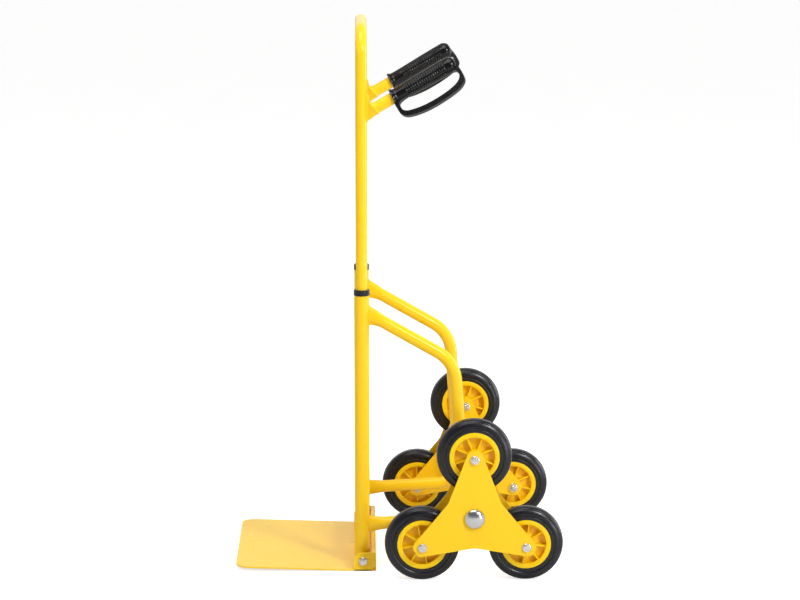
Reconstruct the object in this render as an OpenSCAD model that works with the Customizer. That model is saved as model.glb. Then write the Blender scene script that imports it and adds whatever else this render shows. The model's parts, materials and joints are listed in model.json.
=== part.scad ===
// Six-wheel stair-climbing hand truck with a telescopic handle and a folding toe plate.
// X runs across the truck, with +X on the user's left, +Y towards the wheels, Z up from the floor.
// The origin is on the floor, in the middle of the truck's box.

/* [Uprights] */
// Distance between the centre lines of the two uprights
upright_spacing = 280; // [240:1:320]
// Outer diameter of the lower tubes
upright_d = 30; // [28:0.5:34]
// Wall of every steel tube
tube_wall = 1.5; // [1.2:0.1:2]
// Height of the top of the lower tubes
upright_top = 562; // [520:1:580]
// Outer diameter of the cross tubes and the bent side frames
frame_tube_d = 25; // [20:0.5:26]
// Heights of the three cross tubes
crossbar_z = [62, 300, 470]; // [40:1:500]

/* [Side frames] */
// Height at which the upper strut meets the upright
strut_z = 532; // [500:1:545]
// Upper bend of a side frame, behind the upright and above the floor
upper_bend = [186, 426]; // [150:1:450]
// Lower bend of a side frame, behind the upright and above the floor
lower_bend = [209.5, 101]; // [90:0.5:230]
// Height at which the lower arm meets the upright
arm_z = 88.5; // [80:0.5:110]
// Centre line radii of the two bends
bend_radii = [75, 42]; // [35:1:90]

/* [Handle] */
// Outer diameter of the sliding tube
slider_d = 23; // [20:0.5:24]
// Height of the top of the handle, pulled out
handle_top = 1101.5; // [1000:0.5:1150]
// Centre line radius of the handle's two top corners
handle_corner_r = 50; // [30:1:80]
// Height of the sliding tube's lower end, handle pulled out
slider_bottom = 430; // [420:1:460]
// How far the handle slides down
handle_travel = 320; // [200:1:320]
// Height of the snap buttons, handle pulled out
lock_z = 500; // [480:1:510]

/* [Grips] */
// Centre of a grip's root, behind the upright and above the floor
grip_root = [63.3, 957.5]; // [60:0.5:970]
// Angle of the grips above the level
grip_angle = 30; // [20:1:40]
// Diameter of the grip sleeve
grip_d = 31; // [28:0.5:34]
// Length of the grip sleeve
grip_length = 140; // [120:1:150]
// Width of the finger guard's strap
guard_w = 12; // [10:0.5:20]
// How far the finger guards lean outwards about the grips
guard_lean = 30; // [0:1:45]

/* [Toe plate] */
// Width of the toe plate
toe_w = 350; // [300:1:370]
// Reach of the toe plate in front of the uprights
toe_reach = 256.6; // [200:0.2:280]
// Thickness of the toe plate
toe_t = 3; // [2:0.5:3]
// Rise of the toe plate towards its front edge, in degrees
toe_rise = 1.9; // [0:0.1:3]
// Hinge behind the upright's centre line and above the floor
toe_hinge = [1.4, 20]; // [1:0.1:20]
// Radius of the toe plate's front corners
toe_corner_r = 28; // [10:1:40]

/* [Wheel clusters] */
// Axle behind the upright's centre line and above the floor
axle = [222.7, 134.75]; // [120:0.05:240]
// Diameter of the axle
axle_d = 16; // [12:0.5:20]
// Distance from the axle to each wheel's centre
arm_r = 119.5; // [110:0.5:130]
// Middle of the wheels, from the middle of the truck
wheel_x = 226.5; // [220:0.5:240]
// Distance between a cluster's two plates
plate_gap = 75; // [70:1:80]
// Thickness of a cluster's plates
plate_t = 3; // [2:0.5:4]

/* [Wheels] */
// Diameter of the tyre
tyre_d = 150; // [140:1:150]
// Width of the tyre
tyre_w = 36; // [30:1:40]
// Diameter of the rim, under the tyre
rim_d = 100; // [90:1:110]
// Number of ribs on each side of a rim
rim_ribs = 8; // [5:1:12]
// Diameter of the wheel bolts
wheel_bolt_d = 10; // [8:1:12]

/* [Hidden] */
$fn = 64;
paint = "gold";
steel = "silver";
black = "#202020";
half = upright_spacing / 2;
truck_back = axle.x + arm_r * cos(30) + tyre_d / 2;
upright_y = (toe_reach - truck_back) / 2;
run_clear = 0.05;   // radial clearance of every sliding and turning fit
gap = 0.3;          // gap between pieces that pass each other

upright_bore = upright_d - 2 * tube_wall;
slider_bore = slider_d - 2 * tube_wall;
frame_tube_bore = frame_tube_d - 2 * tube_wall;
hinge_bolt_d = 8;
foot_r = toe_hinge.y - toe_t - 0.4;
upright_foot_z = toe_t + 0.4;

sweep_sides = 24;
press_run = 50;     // length over which a tube end is pressed oval
strut_press = [33, 14];
arm_press = [31, 17];

collar_h = 12;
collar_sleeve = 36;
collar_d = upright_d + 1.5;

slider_guide_h = 24;
slider_plug_h = 16;
bend_z = handle_top - slider_d / 2 - handle_corner_r;
stub_d = 24;
stub_end = 120;

button_d = 8;
button_out = 3.5;
button_flange_d = 10;
button_flange_x = half - sqrt(pow(slider_bore / 2, 2) - pow(button_flange_d / 2, 2)) + gap;

ear_t = 3;
ear_r = 18.5;
ear_top = toe_hinge.y + ear_r;
ear_back = 27.5;
stop_lip = 9.5;
hinge_head_x = toe_w / 2 + gap;
toe_flat = -20;     // the plate lies flat behind this line and rises in front of it

inner_x = wheel_x - plate_gap / 2 - plate_t;
outer_x = wheel_x + plate_gap / 2;
outer_face = outer_x + plate_t;
hub_d = 26;
hub_end = 0.8;
spacer_d = 16;
bolt_head_h = 6;
bolt_head_af = 16;
plate_end = 17.5;   // from a wheel bolt to the end of its arm
plate_end_half = 12.6;
plate_end_r = 12;
plate_notch = 60.7;
plate_notch_r = 40;
axle_tube_d = 28;
axle_tube_half = inner_x - 4.5;
cap_d = 41;
cap_h = 12.5;
boss_d = 30;
web_t = 5;
rib_t = 3;
rib_turn = [[22, 13, -8], [26, 1, 27]];  // how far each wheel stands turned, left then right
rim_lip = 10;
tread_drop = 3;      // how much lower the tyre's shoulders are than its middle
tread_flat = 10;

// ---- helpers ----

function wrap(a) = a > 180 ? a - 360 : a < -180 ? a + 360 : a;

// Arc of radius p[2] that rounds corner p between its neighbours a and b
function fillet(a, p, b, n) =
    let (c = [p[0], p[1]], u = [a[0], a[1]] - c, v = [b[0], b[1]] - c,
         un = u / norm(u), vn = v / norm(v), h = acos(un * vn) / 2,
         m = c + (un + vn) / norm(un + vn) * p[2] / sin(h),
         s = c + un * p[2] / tan(h) - m, e = c + vn * p[2] / tan(h) - m,
         a0 = atan2(s.y, s.x), d = wrap(atan2(e.y, e.x) - a0))
    [for (i = [0:n]) m + p[2] * [cos(a0 + d * i / n), sin(a0 + d * i / n)]];

// Outline with the radius given as each corner's third value, 0 for a sharp corner
function rounded(pts, n = 6) =
    [for (i = [0:len(pts) - 1])
        each pts[i][2] == 0 ? [[pts[i][0], pts[i][1]]]
            : fillet(pts[(i + len(pts) - 1) % len(pts)], pts[i], pts[(i + 1) % len(pts)], n)];

// Puts a piece drawn about the uprights' line into the truck's frame
module truck() translate([0, upright_y, 0]) children();

// Draws a left-hand piece on the left (side = 1) or mirrored on the right (side = -1)
module on_side(side) truck() mirror([side < 0 ? 1 : 0, 0, 0]) children();

// Turns a shape drawn in XY, extruded along Z, so that X -> Y, Y -> Z and Z -> X
module stand() rotate([90, 0, 90]) children();

// Cylinder along X from x0 to x1
module along_x(d, x0, x1) translate([x0, 0, 0]) rotate([0, 90, 0]) cylinder(d = d, h = x1 - x0);

module hex_along_x(af, x0, x1)
    translate([x0, 0, 0]) rotate([0, 90, 0]) cylinder(d = af / cos(30), h = x1 - x0, $fn = 6);

// Round bar in XY from a to b
module bar(a, b, d)
    translate([a.x, a.y, 0]) rotate([0, 0, atan2(b.y - a.y, b.x - a.x)]) rotate([0, 90, 0])
        cylinder(d = d, h = norm(b - a));

// ---- frame ----

// Room that the toe plate needs to fold, cut from the upright's lower end
module foot_shape() {
    translate([-upright_d, -upright_d, toe_hinge.y]) cube([2 * upright_d, 2 * upright_d, upright_top]);
    translate([-upright_d, toe_hinge.x, upright_foot_z])
        cube([2 * upright_d, upright_d, toe_hinge.y - upright_foot_z + 1]);
    translate([0, toe_hinge.x, toe_hinge.y]) along_x(2 * foot_r, -upright_d, upright_d);
}

module upright(side) color(paint) on_side(side) translate([half, 0, 0])
    difference() {
        intersection() {
            translate([0, 0, upright_foot_z]) cylinder(d = upright_d, h = upright_top - upright_foot_z);
            foot_shape();
        }
        cylinder(d = upright_bore, h = upright_top + 1);
        translate([0, toe_hinge.x, toe_hinge.y]) along_x(hinge_bolt_d, -upright_d, upright_d);
        for (z = [lock_z, lock_z - handle_travel])
            translate([0, 0, z]) along_x(button_d + 4 * run_clear, -upright_d, 0);
    }

module uprights_solid(d) for (s = [-1, 1]) translate([s * half, 0, 0]) cylinder(d = d, h = handle_top);

module crossbar(z) color(paint) truck() difference() {
    translate([0, 0, z]) along_x(frame_tube_d, -half, half);
    translate([0, 0, z]) along_x(frame_tube_bore, -half, half);
    uprights_solid(upright_d);
}

// Stations [point, direction, height, width] of a bend of radius r at p, drawn in XY
function bend_stations(a, p, b, r, n, d) =
    let (way_in = atan2(p.y - a.y, p.x - a.x), turn = wrap(atan2(b.y - p.y, b.x - p.x) - way_in),
         pts = fillet(a, [p.x, p.y, r], b, n))
    [for (i = [0:n]) [pts[i], way_in + turn * i / n, d, d]];

// Ring of points around a station: an oval, square to the centre line
function ring(st) =
    [for (k = [0:sweep_sides - 1]) let (c = st[2] / 2 * cos(360 / sweep_sides * k))
        [st[0].x - sin(st[1]) * c, st[0].y + cos(st[1]) * c,
         st[3] / 2 * sin(360 / sweep_sides * k)]];

// Solid through the rings of a list of stations
module sweep(stations) {
    n = sweep_sides;
    last = (len(stations) - 1) * n;
    polyhedron(
        points = [for (st = stations) each ring(st)],
        faces = [
            [for (k = [0:n - 1]) k], [for (k = [n - 1:-1:0]) last + k],
            for (j = [0:n:last - n], k = [0:n - 1]) let (a = j + k, b = j + (k + 1) % n)
                each [[a, a + n, b + n], [a, b + n, b]]]);
}

// Stations of a side frame: pressed oval on the upright, strut, leg, arm, pressed oval.
// less is taken off the diameter and more is added to both ends
function side_frame_stations(less, more) =
    let (top = [0, strut_z], low = [0, arm_z], d = frame_tube_d - less,
         strut = (upper_bend - top) / norm(upper_bend - top),
         arm = (lower_bend - low) / norm(lower_bend - low),
         a = atan2(strut.y, strut.x), b = atan2(arm.y, arm.x))
    [[top + strut * (8 - more) - [0, 3], a, strut_press.x - less, strut_press.y - less],
     [top + strut * 20 - [0, 2], a, strut_press.x - less, strut_press.y - less],
     [top + strut * press_run, a, d, d],
     each bend_stations(top, upper_bend, lower_bend, bend_radii[0], 5, d),
     each bend_stations(upper_bend, lower_bend, low, bend_radii[1], 8, d),
     [low + arm * press_run, b + 180, d, d],
     [low + arm * 18, b + 180, arm_press.x - less, arm_press.y - less],
     [low + arm * (8 - more), b + 180, arm_press.x - less, arm_press.y - less]];

module side_frame(side) color(paint) on_side(side) difference() {
    translate([half, 0, 0]) stand() difference() {
        sweep(side_frame_stations(0, 0));
        sweep(side_frame_stations(2 * tube_wall, 3));
    }
    uprights_solid(upright_d);
    translate([0, axle.x, axle.y]) along_x(axle_tube_d, 0, 2 * half);
}

module axle_tube() color(paint) truck() translate([0, axle.x, axle.y]) difference() {
    along_x(axle_tube_d, -axle_tube_half, axle_tube_half);
    along_x(axle_d, -axle_tube_half - 1, axle_tube_half + 1);
}

module axle_rod() color(steel) truck() translate([0, axle.x, axle.y])
    along_x(axle_d, -(outer_face + 9), outer_face + 9);

// One ring on each end of the axle
module axle_ring(d, x0, x1, af = 0) for (s = [-1, 1]) truck() mirror([s < 0 ? 1 : 0, 0, 0])
    translate([0, axle.x, axle.y]) difference() {
        if (af > 0) hex_along_x(af, x0, x1); else along_x(d, x0, x1);
        along_x(axle_d, x0 - 1, x1 + 1);
    }

module axle_washers() color(steel) axle_ring(30, outer_face + hub_end + gap, outer_face + hub_end + gap + 2);
module axle_nuts() color(steel)
    axle_ring(0, outer_face + hub_end + gap + 2, outer_face + hub_end + gap + 7, 24);

module collar(side) color(black) on_side(side) translate([half, 0, 0]) difference() {
    union() {
        translate([0, 0, upright_top]) cylinder(d = collar_d, h = collar_h - 2);
        translate([0, 0, upright_top + collar_h - 2]) cylinder(d1 = collar_d, d2 = collar_d - 3, h = 2);
        translate([0, 0, upright_top - collar_sleeve]) cylinder(d = upright_bore, h = collar_sleeve + 1);
    }
    translate([0, 0, upright_top - collar_sleeve - 1])
        cylinder(d = slider_d + 2 * run_clear, h = collar_sleeve + collar_h + 2);
}

// ---- handle ----

// The handle's bent bar, drawn in the plane of the uprights
module handle_path(d) {
    for (s = [-1, 1]) mirror([s < 0 ? 1 : 0, 0, 0]) {
        translate([half, 0, slider_bottom]) cylinder(d = d, h = bend_z - slider_bottom);
        translate([half - handle_corner_r, 0, bend_z]) rotate([90, 0, 0])
            rotate_extrude(angle = 90) translate([handle_corner_r, 0]) circle(d = d);
    }
    translate([0, 0, bend_z + handle_corner_r])
        along_x(d, handle_corner_r - half, half - handle_corner_r);
}

module handle_loop() color(paint) truck() difference() {
    handle_path(slider_d);
    handle_path(slider_bore);
    for (s = [-1, 1]) {
        translate([s * half, 0, slider_bottom - 1]) cylinder(d = slider_bore, h = 2);
        mirror([s < 0 ? 1 : 0, 0, 0])
            translate([half, 0, lock_z]) along_x(button_d + 2 * run_clear, -slider_d, 0);
    }
}

module slider_guide(side) color(black) on_side(side) translate([half, 0, slider_bottom]) {
    translate([0, 0, -slider_guide_h]) cylinder(d = upright_bore - 2 * run_clear, h = slider_guide_h);
    cylinder(d = slider_bore, h = slider_plug_h);
}

// Grip axis: u runs from the root to the end, v is square to it and points down
module grip_axis() stand() translate([grip_root.x, grip_root.y, 0]) rotate([0, 0, grip_angle])
    mirror([0, 1, 0]) children();

module grip_stub(side) color(paint) on_side(side) translate([half, 0, 0]) difference() {
    union() {
        grip_axis() bar([-70, 0], [stub_end, 0], stub_d);
        hull() {
            translate([-7, 9, grip_root.y - 47]) cube([14, 1, 53]);
            grip_axis() translate([-42, 0, 0]) rotate([0, 90, 0]) cylinder(d = stub_d + 3, h = 1, $fn = 32);
        }
    }
    grip_axis() bar([-30, 0], [stub_end + 1, 0], stub_d - 2 * tube_wall);
    translate([-slider_d, -slider_d * 4, grip_root.y - 150]) cube([2 * slider_d, slider_d * 4, 200]);
    translate([0, 0, grip_root.y - 150]) cylinder(d = slider_d, h = 300);
}

// Outline of the finger guard with its opening
module guard_outline() difference() {
    polygon(rounded([[-3, 0, 0], [-3, 56.5, 20], [40, 62.5, 60], [100, 59, 60], [143, 49.5, 18],
                     [143, 0, 0]]));
    polygon(rounded([[4, 12, 2], [4, 47.5, 12], [45, 54.5, 50], [95, 51, 40], [136, 39.5, 14],
                     [136, 12, 2]]));
}

module grip(side) color(black) on_side(side) translate([half, 0, 0]) grip_axis() difference() {
    union() {
        rotate([0, 90, 0]) cylinder(d = grip_d, h = grip_length - 8);
        translate([-1, 0, 0]) rotate([0, 90, 0]) cylinder(d1 = grip_d + 6, d2 = grip_d, h = 8);
        translate([grip_length - 8, 0, 0]) rotate([0, 90, 0]) cylinder(d1 = grip_d, d2 = grip_d - 9, h = 8);
        rotate([guard_lean, 0, 0]) translate([0, 0, -guard_w / 2]) linear_extrude(guard_w) guard_outline();
    }
    bar([-20, 0], [stub_end, 0], stub_d);
}

module lock_button(side) color(steel) on_side(side) translate([0, 0, lock_z]) {
    along_x(button_d, half - upright_d / 2 - button_out, button_flange_x + 0.1);
    along_x(button_flange_d, button_flange_x, button_flange_x + 2);
}

// Folded strip that presses the button outwards
module lock_spring(side) color(steel) on_side(side) {
    x0 = button_flange_x + 2.2;
    x1 = half + slider_bore / 2 - 1.6;
    z0 = lock_z - 42;
    translate([0, 4, 0]) rotate([90, 0, 0]) linear_extrude(8)
        polygon([[x0, lock_z + 5], [x0, lock_z - 4], [half - 1, z0], [half + 1, z0],
                 [x1, lock_z + 5], [x1 - 0.8, lock_z + 5], [half, z0 + 3], [x0 + 0.8, lock_z - 4],
                 [x0 + 0.8, lock_z + 5]]);
}

// ---- toe plate ----

// Side profile of the plate: flat behind toe_flat, rising in front of it
module toe_profile() {
    run = toe_reach + toe_flat;
    rise = run * tan(toe_rise);
    polygon([[ear_back, 0], [toe_flat, 0], [-toe_reach, rise], [-toe_reach, rise + toe_t],
             [toe_flat, toe_t], [ear_back, toe_t]]);
}

module toe_plan() polygon(rounded([
    [-toe_w / 2, -toe_reach, toe_corner_r], [toe_w / 2, -toe_reach, toe_corner_r],
    [toe_w / 2, ear_back, 0], [-toe_w / 2, ear_back, 0]], 10));

module ear_outline() {
    translate([toe_hinge.x, toe_hinge.y]) circle(r = ear_r);
    translate([toe_hinge.x - ear_r, 0]) square([ear_r, toe_hinge.y]);
    translate([toe_hinge.x, 0]) square([ear_back - toe_hinge.x, ear_top]);
}

module toe_plate() color(paint) truck() difference() {
    union() {
        intersection() {
            translate([-toe_w / 2, 0, 0]) stand() linear_extrude(toe_w) toe_profile();
            linear_extrude(60) toe_plan();
        }
        for (x = [-toe_w / 2, toe_w / 2 - ear_t])
            translate([x, 0, 0]) stand() linear_extrude(ear_t) ear_outline();
    }
    translate([0, toe_hinge.x, toe_hinge.y])
        along_x(hinge_bolt_d + 2 * run_clear, -toe_w, toe_w);
}

// Bent strip between the ears, behind the uprights
module toe_stop() color(paint) truck() translate([ear_t - toe_w / 2, 0, 0]) stand()
    linear_extrude(toe_w - 2 * ear_t) {
        translate([ear_back - toe_t, toe_t]) square([toe_t, ear_top - toe_t]);
        translate([ear_back - stop_lip, ear_top - toe_t]) square([stop_lip, toe_t]);
    }

module hinge_pieces() for (s = [-1, 1]) on_side(s) translate([0, toe_hinge.x, toe_hinge.y]) children();

module hinge_bolts() color(steel) hinge_pieces() {
    along_x(hinge_bolt_d, half - upright_d / 2 - 12, hinge_head_x + 1.6);
    hex_along_x(13, hinge_head_x + 1.6, hinge_head_x + 6.6);
}

module hinge_washers() color(steel) hinge_pieces() difference() {
    along_x(17, hinge_head_x, hinge_head_x + 1.6);
    along_x(hinge_bolt_d, hinge_head_x - 1, hinge_head_x + 2);
}

module hinge_spacers() color(steel) hinge_pieces() difference() {
    along_x(16, half, toe_w / 2 - ear_t - gap);
    along_x(hinge_bolt_d, half - 1, toe_w / 2);
    translate([half, -toe_hinge.x, -50]) cylinder(d = upright_d, h = 100);
}

module hinge_nuts() color(steel) hinge_pieces() difference() {
    hex_along_x(13, half - upright_d / 2 - 8, half - upright_d / 2);
    along_x(hinge_bolt_d, half - upright_d / 2 - 9, half);
}

// ---- wheel clusters ----

module cluster(side) on_side(side) translate([0, axle.x, axle.y]) children();

// Centre of wheel 1 (top), 2 (front) or 3 (back), about the axle
function wheel_at(i) = arm_r * [cos(90 + 120 * (i - 1)), sin(90 + 120 * (i - 1))];

module at_wheels() for (i = [1:3]) translate([0, wheel_at(i).x, wheel_at(i).y]) children();

// Three arms that widen towards the hub, with round ends and hollowed sides
module plate_outline() polygon(rounded([for (i = [0:2]) each
    let (a = 90 + 120 * i, n = [-sin(a), cos(a)], e = (arm_r + plate_end) * [cos(a), sin(a)],
         l = e - n * plate_end_half, r = e + n * plate_end_half, c = a + 60)
    [[l.x, l.y, plate_end_r], [r.x, r.y, plate_end_r],
     [plate_notch * cos(c), plate_notch * sin(c), plate_notch_r]]], 8));

module cluster_plate(side, x) color(paint) cluster(side) difference() {
    translate([x, 0, 0]) stand() linear_extrude(plate_t) plate_outline();
    along_x(hub_d, x - 1, x + plate_t + 1);
    at_wheels() along_x(wheel_bolt_d, x - 1, x + plate_t + 1);
}

module hub_sleeve(side) color(steel) cluster(side) difference() {
    along_x(hub_d, inner_x - 4, outer_face + hub_end);
    along_x(axle_d + 2 * run_clear, inner_x - 5, outer_face + hub_end + 1);
}

// Domed cap over the end of the axle
module hub_cap(side) color("#d8dadc") cluster(side) translate([outer_face, 0, 0]) rotate([0, 90, 0])
    rotate_extrude() polygon([
        [cap_d / 2 - 1.5, 0], [cap_d / 2, 0], [cap_d / 2, 2],
        for (a = [10:10:80]) [cap_d / 2 * cos(a), 2 + (cap_h - 2) * sin(a)], [0, cap_h],
        [0, cap_h - 1.2], for (a = [80:-10:10]) [(cap_d / 2 - 1.5) * cos(a), 2 + (cap_h - 3.2) * sin(a)],
        [cap_d / 2 - 1.5, 2]]);

module wheel_bolts(side) color(steel) cluster(side) at_wheels() {
    along_x(wheel_bolt_d, inner_x - 11, outer_face);
    along_x(18, outer_face, outer_face + 1.5);
    hex_along_x(bolt_head_af, outer_face + 1.5, outer_face + bolt_head_h);
}

module wheel_nuts(side) color(steel) cluster(side) at_wheels() difference() {
    union() {
        along_x(18, inner_x - 1.5, inner_x);
        hex_along_x(bolt_head_af, inner_x - 9.5, inner_x - 1.5);
    }
    along_x(wheel_bolt_d, inner_x - 10, inner_x + 1);
}

module wheel_spacers(side) color(steel) cluster(side) at_wheels() difference() {
    along_x(spacer_d, inner_x + plate_t, outer_x);
    along_x(wheel_bolt_d, inner_x, outer_x + 1);
}

module wheel(side, i) cluster(side) translate([wheel_x, wheel_at(i).x, wheel_at(i).y])
    rotate([0, 90, 0]) children();

module tyre(side, i) color(black) wheel(side, i) rotate_extrude() polygon(rounded([
    [rim_d / 2, -tyre_w / 2 + 1, 0], [rim_d / 2 + 8, -tyre_w / 2, 6],
    [tyre_d / 2 - tread_drop, -tyre_w / 2 + 2, 9], [tyre_d / 2, -tread_flat / 2, 30],
    [tyre_d / 2, tread_flat / 2, 30], [tyre_d / 2 - tread_drop, tyre_w / 2 - 2, 9],
    [rim_d / 2 + 8, tyre_w / 2, 6], [rim_d / 2, tyre_w / 2 - 1, 0]], 6));

module rim(side, i) color(paint) wheel(side, i) difference() {
    union() {
        rotate_extrude() translate([rim_d / 2 - 5, -tyre_w / 2]) square([5, tyre_w]);
        for (z = [-tyre_w / 2, tyre_w / 2 - 4]) translate([0, 0, z]) rotate_extrude()
            translate([rim_d / 2 - rim_lip, 0]) square([rim_lip, 4]);
        cylinder(d = rim_d - 8, h = web_t, center = true);
        cylinder(d = boss_d, h = plate_gap - 1.6, center = true);
        for (k = [0:rim_ribs - 1])
            rotate([0, 0, 360 / rim_ribs * k + 90 + rib_turn[side > 0 ? 0 : 1][i - 1]])
                translate([0, -rib_t / 2, -tyre_w / 2 + 3]) cube([rim_d / 2 - 6, rib_t, tyre_w - 6]);
    }
    cylinder(d = spacer_d + 2 * run_clear, h = plate_gap, center = true);
}

upright(1);  // left_upright
upright(-1);  // right_upright
crossbar(crossbar_z[0]);  // lower_crossbar
crossbar(crossbar_z[1]);  // middle_crossbar
crossbar(crossbar_z[2]);  // upper_crossbar
side_frame(1);  // left_side_frame
side_frame(-1);  // right_side_frame
axle_tube();
axle_rod();
axle_washers();
axle_nuts();
collar(1);  // left_collar
collar(-1);  // right_collar
handle_loop();
grip_stub(1);  // left_grip_stub
grip_stub(-1);  // right_grip_stub
grip(1);  // left_grip
grip(-1);  // right_grip
slider_guide(1);  // left_slider_guide
slider_guide(-1);  // right_slider_guide
lock_button(1);  // left_lock_button
lock_button(-1);  // right_lock_button
lock_spring(1);  // left_lock_spring
lock_spring(-1);  // right_lock_spring
toe_plate();
toe_stop();
hinge_bolts();
hinge_washers();
hinge_spacers();
hinge_nuts();
cluster_plate(1, outer_x);  // left_outer_plate
cluster_plate(1, inner_x);  // left_inner_plate
hub_sleeve(1);  // left_hub_sleeve
hub_cap(1);  // left_hub_cap
wheel_bolts(1);  // left_wheel_bolts
wheel_nuts(1);  // left_wheel_nuts
wheel_spacers(1);  // left_wheel_spacers
cluster_plate(-1, outer_x);  // right_outer_plate
cluster_plate(-1, inner_x);  // right_inner_plate
hub_sleeve(-1);  // right_hub_sleeve
hub_cap(-1);  // right_hub_cap
wheel_bolts(-1);  // right_wheel_bolts
wheel_nuts(-1);  // right_wheel_nuts
wheel_spacers(-1);  // right_wheel_spacers
tyre(1, 1);  // left_tyre_1
tyre(1, 2);  // left_tyre_2
tyre(1, 3);  // left_tyre_3
rim(1, 1);  // left_rim_1
rim(1, 2);  // left_rim_2
rim(1, 3);  // left_rim_3
tyre(-1, 1);  // right_tyre_1
tyre(-1, 2);  // right_tyre_2
tyre(-1, 3);  // right_tyre_3
rim(-1, 1);  // right_rim_1
rim(-1, 2);  // right_rim_2
rim(-1, 3);  // right_rim_3
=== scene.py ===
"""Stair-climbing hand truck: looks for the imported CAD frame. Lengths in the code are millimetres."""
import json
import math
import random

import bpy
import bmesh
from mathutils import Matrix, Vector
from mathutils.geometry import tessellate_polygon


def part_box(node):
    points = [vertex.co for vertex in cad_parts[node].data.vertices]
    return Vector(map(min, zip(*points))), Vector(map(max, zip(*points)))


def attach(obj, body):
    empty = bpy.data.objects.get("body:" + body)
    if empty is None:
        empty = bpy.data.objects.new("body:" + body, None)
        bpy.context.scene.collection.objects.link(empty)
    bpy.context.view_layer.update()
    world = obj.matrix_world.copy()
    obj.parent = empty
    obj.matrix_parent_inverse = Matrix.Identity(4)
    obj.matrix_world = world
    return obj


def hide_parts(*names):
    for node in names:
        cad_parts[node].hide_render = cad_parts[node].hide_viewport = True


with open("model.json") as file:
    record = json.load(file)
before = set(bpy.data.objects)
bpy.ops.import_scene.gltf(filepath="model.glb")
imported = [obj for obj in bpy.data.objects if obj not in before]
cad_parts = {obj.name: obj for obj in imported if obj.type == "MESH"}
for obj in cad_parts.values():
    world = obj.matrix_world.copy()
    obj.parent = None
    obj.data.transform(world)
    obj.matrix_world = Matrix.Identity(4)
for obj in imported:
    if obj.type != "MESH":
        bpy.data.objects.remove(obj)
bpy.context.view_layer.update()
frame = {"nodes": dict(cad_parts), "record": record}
nodes = frame["nodes"]
MM = 0.001
SIDES = (("left", 1), ("right", -1))
X = Vector((1, 0, 0))


def centre(node):
    """Middle of a CAD node's box, in millimetres."""
    low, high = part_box(node)
    return (low + high) / 2 / MM


UX, UY = centre("left_upright").xy          # the left upright's centre line
UPRIGHT_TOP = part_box("left_upright")[1].z / MM
AXLE = centre("axle_tube")
HINGE = centre("hinge_bolts")
HANDLE_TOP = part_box("handle_loop")[1].z / MM
WHEEL_X = centre("left_tyre_1").x
WHEELS = [centre(f"left_tyre_{i}") for i in (1, 2, 3)]
POST_R = 15.0                               # upright
SLIDER_R = 11.5                             # the handle's tube
TUBE_R = 12.5                               # side frames and cross tubes
WELD_R = 1.7

# ---------------------------------------------------------------- mesh building


def smooth01(t):
    """Smooth step from 0 at t = 0 to 1 at t = 1."""
    t = min(1.0, max(0.0, t))
    return t * t * (3 - 2 * t)


def circle(u, v, r, n):
    """Points of a circle about (u, v)."""
    return [(u + r * math.cos(2 * math.pi * k / n), v + r * math.sin(2 * math.pi * k / n))
            for k in range(n)]


def ring_along_x(x, at, r, n):
    """Ring of radius r about the line along X through at = (y, z)."""
    return [Vector((x, y, z)) for y, z in circle(*at, r, n)]


def along_x(u, v, h):
    """Places an outline drawn in y and z; it is extruded along X."""
    return Vector((h, u, v))


BEVEL_FROM = 40                             # degrees between two faces


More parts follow.
